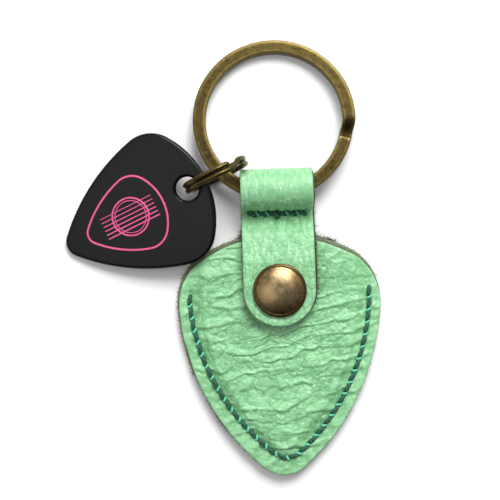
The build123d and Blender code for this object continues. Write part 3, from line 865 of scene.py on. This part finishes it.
def seam_piece(name, holes, lay, side, body, node, radius=THREAD_R, slant=0.14, knot=()):
    """All stitches of one face of a seam: side is 1 for the top face and -1 for the back.

    Between stitches, a short strand of the other thread crosses each hole.
    """
    strands = []
    draws = np.random.default_rng(5)
    for start, end in zip(holes, holes[1:]):
        gap = (end - start) * 0.13
        lean = slant * (0.7 + 0.6 * draws.random())
        size = radius * (0.96 + 0.14 * draws.random())
        path = stitch_path(start + gap, end - gap, lay, 0.5 * side, lean, 0.16 * side)
        strands.append(strand(path, size))
    for before, hole, after in zip(holes, holes[1:], holes[2:]):
        run = unit(after - before)
        cross = np.array([-run[1], run[0]]) * 0.38 - run * (0.16 + 0.2 * draws.random())
        path = stitch_path(hole - cross, hole + cross, lay, 0.35 * side, 0, 0.12 * side)
        # painted glints: the strand across each hole is coloured bright
        strands.append(strand(path, 0.25, (0.5, 1.0)))
    strands += knot
    points, faces = merged([each[:2] for each in strands])
    piece = make_mesh(name, points, faces, [THREAD], np.concatenate([each[2] for each in strands]))
    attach(piece, body)
    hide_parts(node)


# Two strands tied over the strap's seam: from, to, how far above it, depth, slant, height and thickness.
TIE_STRANDS = (
    ((-0.5, 0.35), (0.55, -0.6), 0.25, 0.6, 0.1, 0.2, 1.15),
    ((0.15, 0.5), (0.1, -0.95), 0.2, 0.5, -0.1, 0.15, 1.05),
)


def build_seams():
    """The pouch's seam and the strap's, on both faces."""
    seam_piece("pouch_stitches_top", SEAM_HOLES, 2 * LEATHER + 0.02, 1, "pouch", "pouch_thread_top")
    seam_piece("pouch_stitches_back", SEAM_HOLES, BACK_LAY, -1, "pouch", "pouch_thread_back", slant=-0.1)
    lay = TAIL_Z + LEATHER / 2 + 0.06
    middle = STRAP_HOLES[STRAP_STITCHES // 2] - (0.25, 0.0)
    tie = []
    for start, end, over, depth, lean, proud, size in TIE_STRANDS:
        path = stitch_path(middle + start, middle + end, lay + over, depth, lean, proud)
        tie.append(strand(path, THREAD_R * size))
    thick = THREAD_R * 1.2
    seam_piece("strap_stitches_top", STRAP_HOLES, lay, 1, "pouch", "strap_thread_top", thick, 0.26, tie)
    seam_piece("strap_stitches_back", STRAP_HOLES, BACK_LAY, -1, "pouch", "strap_thread_back", slant=-0.2)


# ---- snap ----
def turned(name, profile, material, wear, sides=144):
    """A piece turned about the snap's axis from a profile of (radius, height)."""
    profile = np.array(profile, float)
    plan = profile[:, :1, None] * circle(sides)
    level = np.repeat(profile[:, 1:, None], sides, 1)
    points = np.concatenate([plan, level], -1).reshape(-1, 3)
    return make_mesh(name, points, grid_faces(len(profile), sides), [material], np.repeat(wear, sides))


CAP_RIM_R, CAP_RIM_RISE = 0.45, 0.32  # the cap's rolled rim, half its width and half its height
TUBE_R, FLARE_R, FLARE_RISE = 1.25, 1.7, 0.12


def build_cap():
    """The snap's domed cap with its rolled rim, and its tube down through the flap."""
    base = cap_low[2]
    foot = CAP_R - CAP_RIM_R
    fall = CAP_TOP - FLAP_TOP - 0.62
    dome = []
    for share in np.linspace(0.0, 1.0, 40):
        radius = foot * 0.97 * share
        dimple = 0.012 * np.exp(-((radius / 0.8) ** 2))
        dome.append((radius, CAP_TOP - fall * share**2.15 - dimple))
    groove = [(foot * 0.985, FLAP_TOP + 0.56), (foot, FLAP_TOP + 0.58)]
    rim_middle = FLAP_TOP + CAP_RIM_RISE
    angles = np.radians(np.linspace(110.0, -90.0, 18))
    rim = [(foot + CAP_RIM_R * cos(a), rim_middle + CAP_RIM_RISE * sin(a)) for a in angles]
    tube = [(TUBE_R, FLAP_TOP), (TUBE_R, FLAP_TOP - LEATHER - 0.25)]
    flare = [(FLARE_R, base + FLARE_RISE), (FLARE_R, base), (0.0, base)]
    profile = dome + groove + rim + tube + flare
    wear = np.full(len(profile), -0.7)
    # rubbed metal and a painted highlight: the dome is coloured lighter towards its top
    wear[: len(dome)] = [0.4 * (1 - (radius / foot) ** 2) for radius, _ in dome]
    piece = turned("snap_cap_dome", profile, SNAP_BRASS, wear)
    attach(piece, "flap")
    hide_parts("snap_cap")


def dress(node, material):
    """Gives a CAD node a material, and the values that the material reads."""
    mesh = frame["nodes"][node].data
    mesh.materials.clear()
    mesh.materials.append(material)
    store(mesh, 0.2, vertices(mesh) / MM)


# ---- rings ----
def ring_spine(radius, pitch, spiral, ramp, steps):
    """Angle, radius and height along a split ring of two turns, from its lower free end to its upper one."""
    turn_end = 360.0 - ramp
    lower = np.linspace(END_GAP, turn_end, steps)
    slope = np.linspace(turn_end, 360.0, 14)[1:-1]
    upper = np.linspace(360.0, 360.0 + turn_end - END_GAP, steps)
    angle = np.concatenate([lower, slope, upper])
    within = angle % 360.0
    drawn = np.where(within < 180.0, 0.0, spiral / 2 * (1 + np.cos(np.radians(within))))
    share = ease((angle - turn_end) / ramp)
    on_slope = (angle > turn_end) & (angle < 360.0)
    drawn = np.where(on_slope, spiral * (1 - share), drawn)
    height = pitch * (share - 0.5)
    return np.radians(angle), radius - drawn, height


def moved(points, place):
    """Points carried to the place that a matrix gives."""
    spin = np.array(place)
    return points @ spin[:3, :3].T + spin[:3, 3]


def ring_mesh(name, place, spine, section, start, wear):
    """A split ring swept from its section, in the place that a matrix gives."""
    angle, radius, height = spine
    angle = angle + radians(start)
    spoke = np.stack([np.cos(angle), np.sin(angle), np.zeros(len(angle))], 1)
    centres = spoke * radius[:, None] + np.outer(height, (0.0, 0.0, 1.0))
    up = np.tile([0.0, 0.0, 1.0], (len(angle), 1))
    along = np.degrees(angle)[:, None] / 9
    ripple = 0.02 * (noise(along, np.arange(len(section))[None] / 3.0, 6) - 0.5)
    sections = section * (1 + ripple[..., None])
    from_end = np.minimum(angle - angle[0], angle[-1] - angle) * radius
    sections[..., 1] *= (0.45 + 0.55 * np.clip(from_end / 0.35, 0, 1))[:, None]
    points, faces = swept(centres, spoke, up, sections)
    bare = np.clip(1 - from_end / 0.3, 0, 1)[:, None]
    worn = np.append(np.maximum(wear[None], bare), [1.0, 1.0])
    piece = make_mesh(name, moved(points, place), faces, [RING_BRASS], worn, points + (40, 40, 0))
    return piece


def basis(x_axis, z_axis, origin):
    """The matrix of a frame from its X and Z axes and its origin."""
    x_axis, z_axis = Vector(x_axis).normalized(), Vector(z_axis).normalized()
    y_axis = z_axis.cross(x_axis)
    matrix = Matrix((x_axis, y_axis, z_axis)).transposed().to_4x4()
    matrix.translation = Vector(origin)
    return matrix


def rounded_rectangle(width, height, corner):
    """The section of a flat band with round corners, and how exposed to wear each point is."""
    arcs = []
    for k, (side, level) in enumerate(((1, 1), (-1, 1), (-1, -1), (1, -1))):
        centre = (side * (width / 2 - corner), level * (height / 2 - corner))
        arcs.append(arc_points(centre, corner, 90.0 * k, 90.0 * k + 90.0, corner / 3))
    points, wear = [], []
    for arc, following in zip(arcs, arcs[1:] + arcs[:1]):
        flat = [arc[-1] + share * (following[0] - arc[-1]) for share in (0.25, 0.5, 0.75)]
        points += [*arc, *flat]
        wear += [0.75] * len(arc) + [0.06] * len(flat)
    return np.array(points), np.array(wear)


def build_rings():
    """The flat key ring and the small link ring of round wire."""
    slide = joint("link_slide")
    place = basis((1, 0, 0), slide["axis"], np.array(slide["pos_m"]) / MM)
    spine = ring_spine(KEY_RING_R - KEY_BAND / 2, KEY_COIL + COIL_GAP, KEY_SPIRAL, KEY_RAMP, 190)
    section, wear = rounded_rectangle(KEY_BAND, KEY_COIL, 0.24)
    ring = ring_mesh("key_ring_band", place, spine, section, 0.0, wear)
    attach(ring, "key_ring")
    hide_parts("key_ring")

    swing = joint("tag_swing")
    axis = np.array(swing["axis"])
    place = basis(np.cross(axis, (0, 0, 1)), -axis, np.array(swing["pos_m"]) / MM)
    spine = ring_spine(LINK_R - LINK_WIRE_R, 2 * LINK_WIRE_R + COIL_GAP / 2, LINK_SPIRAL, LINK_RAMP, 120)
    section = LINK_WIRE_R * circle(20)
    link = ring_mesh("link_ring_wire", place, spine, section, LINK_START, np.full(20, 0.4))
    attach(link, "link_ring")
    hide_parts("link_ring")
    return place


# ---- tag ----
def tag_place(link_place):
    """The matrix that puts the tag, drawn with its tip at the origin, on the link ring's wire."""
    wire = LINK_R - LINK_WIRE_R
    reach = wire + TAG.height - TAG_HOLE_FROM_TOP
    half = TAG_THICKNESS / 2
    slope = asin(LINK_R / hypot(reach, half)) - atan2(half, reach)
    toward = link_place.to_3x3() @ Vector((1, 0, 0))
    turn = Matrix.Rotation(atan2(toward.y, toward.x), 4, "Z")
    lean = Matrix.Rotation(-slope, 4, "Y")
    quarter = Matrix.Rotation(-pi / 2, 4, "Z")
    hung = Matrix.Translation(link_place.translation) @ turn @ lean
    return hung @ Matrix.Translation((-reach, 0, 0)) @ quarter


def curve_plate(name, outlines, half_height, bevel, material, place):
    """A flat plate cut to closed outlines, the later ones holes, with round edges, as a mesh in its place."""
    curve = bpy.data.curves.new(name, "CURVE")
    curve.dimensions = "2D"
    curve.fill_mode = "BOTH"
    curve.extrude = half_height - bevel
    curve.bevel_depth = bevel
    curve.bevel_resolution = 4
    curve.offset = -bevel
    for outline in outlines:
        spline = curve.splines.new("POLY")
        spline.points.add(len(outline) - 1)
        flat = np.column_stack([outline, np.zeros(len(outline)), np.ones(len(outline))])
        spline.points.foreach_set("co", flat.ravel())
        spline.use_cyclic_u = True
    shape = bpy.data.objects.new(name + "_outline", curve)
    mesh = bpy.data.meshes.new_from_object(shape)
    bpy.data.objects.remove(shape)
    bpy.data.curves.remove(curve)
    points, faces = vertices(mesh), [tuple(face.vertices) for face in mesh.polygons]
    bpy.data.meshes.remove(mesh)
    piece = make_mesh(name, moved(points, place), faces, [material], rest=points)
    piece.data.set_sharp_from_angle(angle=radians(35))
    return piece


def ring_outline(centre, radius):
    """Points round a circle."""
    return centre + radius * circle(72)


def line_outline(start, end, width):
    """A thin bar from one point to another, with round ends."""
    start, end = np.array(start, float), np.array(end, float)
    heading = degrees(atan2(end[1] - start[1], end[0] - start[0]))
    first = arc_points(end, width / 2, heading - 90, heading + 90, 0.08)
    second = arc_points(start, width / 2, heading + 90, heading + 270, 0.08)
    return np.vstack([first, second])


TAG_BEVEL = 0.62
ART = Shield(14.6, 16.4, 2.2, 4.2, 9.5, 21.0)
ART_LINE = 0.36  # width of the printed outline
INK_HEIGHT, INK_BEVEL = 0.012, 0.003
STRINGS, STRING_PITCH = 6, 0.8


def print_outlines():
    """The tag's print by name: a pick's outline round a sound hole, with strings across it."""
    low = np.array([0.0, 4.6])
    middle = low + (0.0, 9.3)
    outer = resampled(shield_outline(ART) + low, 200, closed=True)
    inner = resampled(shield_outline(inset(ART, ART_LINE)) + low + (0, ART_LINE), 200, closed=True)
    shapes = {
        "print_border": [outer, inner[::-1]],
        "print_rosette": [ring_outline(middle, 3.7), ring_outline(middle, 3.4)[::-1]],
        "print_sound_hole": [ring_outline(middle, 3.1), ring_outline(middle, 2.95)[::-1]],
    }
    for k in range(STRINGS):
        x = (k - (STRINGS - 1) / 2) * STRING_PITCH
        string = line_outline(middle + (x, -5.6), middle + (x, 5.2), 0.14 + 0.02 * k)
        shapes[f"print_string_{k + 1}"] = [string]
    return shapes


def build_tag(link_place):
    """The black tag and its print."""
    place = tag_place(link_place)
    hole = ring_outline((0.0, TAG.height - TAG_HOLE_FROM_TOP), TAG_HOLE_R)[::-1]
    outline = resampled(shield_outline(TAG), 260, closed=True)
    tag = curve_plate("tag_plate", [outline, hole], TAG_THICKNESS / 2, TAG_BEVEL, BLACK, place)
    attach(tag, "tag")
    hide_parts("pick_tag")

    lift = place @ Matrix.Translation((0, 0, TAG_THICKNESS / 2))
    for name, outlines in print_outlines().items():
        mark = curve_plate(name, outlines, INK_HEIGHT, INK_BEVEL, PINK, lift)
        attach(mark, "tag")


# ---- loose fibres along cut edges ----
FIBRE_R = 0.045


def fibres(name, body, slot, roots, away, reach, count, seed):
    """Short curled fibres that stand out from a line of roots, as thin tapered tubes."""
    draws = np.random.default_rng(seed)
    shares = np.linspace(0, 1, 5)[:, None]
    sections = (FIBRE_R * (1 - 0.75 * shares))[..., None] * circle(4)
    parts = []
    for _ in range(count):
        k = draws.integers(len(roots))
        direction = unit(away[k] + draws.normal(0, 0.55, 3) * (1, 1, 0.5))
        bend = draws.normal(0, 0.5, 3)
        size = reach * (0.3 + 0.9 * draws.random() ** 2)
        line = roots[k] - 0.05 * direction + direction * size * shares + bend * size * 0.5 * shares**2
        parts.append(swept(line, *square_to(line, [0.31, 0.17, 0.94]), sections))
    points, faces = merged(parts)
    piece = make_mesh(name, points, faces, [FUZZ])
    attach(piece, body)


def raised(rim, height):
    """An outline's points at a height, and its outward normals."""
    level = np.full(len(rim), height)
    return np.column_stack([rim, level]), np.column_stack([outward(rim), 0 * level])


def build_fibres(rim):
    """Fibres along the edges of the back panel, its neck, the front panel and the flap's right side."""
    x, y = rim.T
    base, away = raised(rim, 0.9)
    shows = (y < MOUTH_Y + 2.2) & ((x < -3) | (y > 2.0))
    fibres("back_edge_fibres", "pouch", "back_leather", base[shows], away[shows], 0.55, 620, 21)
    beside = (np.abs(x - 2.0) < 10.0) & (y > MOUTH_Y - 1.5) & (y < LOOP_Y - 3)
    beside &= (x > 0) | (y < MOUTH_Y + 1.5)
    neck = base[beside] + (0, 0, 0.3)
    fibres("neck_edge_fibres", "pouch", "back_leather", neck, away[beside], 0.85, 420, 22)
    fibres("front_edge_fibres", "pouch", "front_leather", *raised(FRONT_RIM, 1.9), 0.3, 420, 23)
    along = np.linspace(-1.0, 9.0, 80)
    level = np.interp(along, (5.0, 9.0), (FLAP_MID - 0.2, FLAP_MID - 0.8))
    right = np.column_stack([np.full(80, HALF_STRAP + 0.2), along, level])
    out = np.tile([1.0, 0.0, 0.0], (80, 1))
    fibres("flap_edge_fibres", "flap", "strap_leather", right, out, 0.75, 260, 24)


# ---- studio ----
CAMERA_PLACE = (-0.0053, 0.0077, 0.255)
CAMERA_TURN = -1.8
VIEW_WIDTH = 0.0952  # of the table that the camera sees
LAMPS = (("key", (0.10, 0.33, 0.38), 0.26, 2.7), ("fill", (-0.25, -0.05, 0.55), 0.4, 0.6))
SKY = {"From Min": -0.8, "From Max": 0.8, "To Min": 0.04, "To Max": 0.8}


def build_floor():
    """A pale floor just under the back panel."""
    floor = bpy.data.objects.new("floor", bpy.data.meshes.new("floor"))
    corners = [(1.5 * x, 1.5 * y, -2e-5) for x, y in ((-1, -1), (1, -1), (1, 1), (-1, 1))]
    floor.data.from_pydata(corners, [], [(0, 1, 2, 3)])
    paper = Shader("paper", Roughness=0.9, Base_Color=(0.97, 0.97, 0.97, 1.0))
    floor.data.materials.append(paper.material)
    bpy.context.scene.collection.objects.link(floor)


def build_sky():
    """A plain white world, brighter towards +Y."""
    world = bpy.data.worlds.new("studio")
    world.use_nodes = True
    nodes, links = world.node_tree.nodes, world.node_tree.links
    kinds = ("TexCoord", "SeparateXYZ", "MapRange")
    direction, split, level = [nodes.new("ShaderNode" + kind) for kind in kinds]
    for socket, value in SKY.items():
        level.inputs[socket].default_value = value
    links.new(direction.outputs["Generated"], split.inputs[0])
    links.new(split.outputs["Y"], level.inputs["Value"])
    links.new(level.outputs[0], nodes["Background"].inputs["Strength"])
    nodes["Background"].inputs["Color"].default_value = (1.0, 1.0, 1.0, 1.0)
    bpy.context.scene.world = world


def build_lamps():
    """Soft lamps that face the origin."""
    for name, spot, size, power in LAMPS:
        light = bpy.data.lights.new(name, "AREA")
        light.size = size
        light.energy = power
        lamp = bpy.data.objects.new(name, light)
        lamp.location = spot
        lamp.rotation_euler = (-Vector(spot)).to_track_quat("-Z", "Y").to_euler()
        bpy.context.scene.collection.objects.link(lamp)


def build_camera():
    """The camera, looking straight down."""
    camera = bpy.data.objects.new("camera", bpy.data.cameras.new("camera"))
    camera.data.lens = camera.data.sensor_width * CAMERA_PLACE[2] / VIEW_WIDTH
    camera.data.clip_start = 0.01
    camera.location = CAMERA_PLACE
    camera.rotation_euler = (0.0, 0.0, radians(CAMERA_TURN))
    bpy.context.scene.collection.objects.link(camera)
    bpy.context.scene.camera = camera


bpy.context.scene.view_settings.view_transform = "Standard"
build_floor()
build_sky()
build_lamps()
build_camera()
back_rim = build_back()
build_front()
build_strap()
build_seams()
build_cap()
for hardware in ("snap_socket", "snap_stud", "snap_post"):
    dress(hardware, SNAP_BRASS)
dress("snap_spring", STEEL)
build_tag(build_rings())
build_fibres(back_rim)
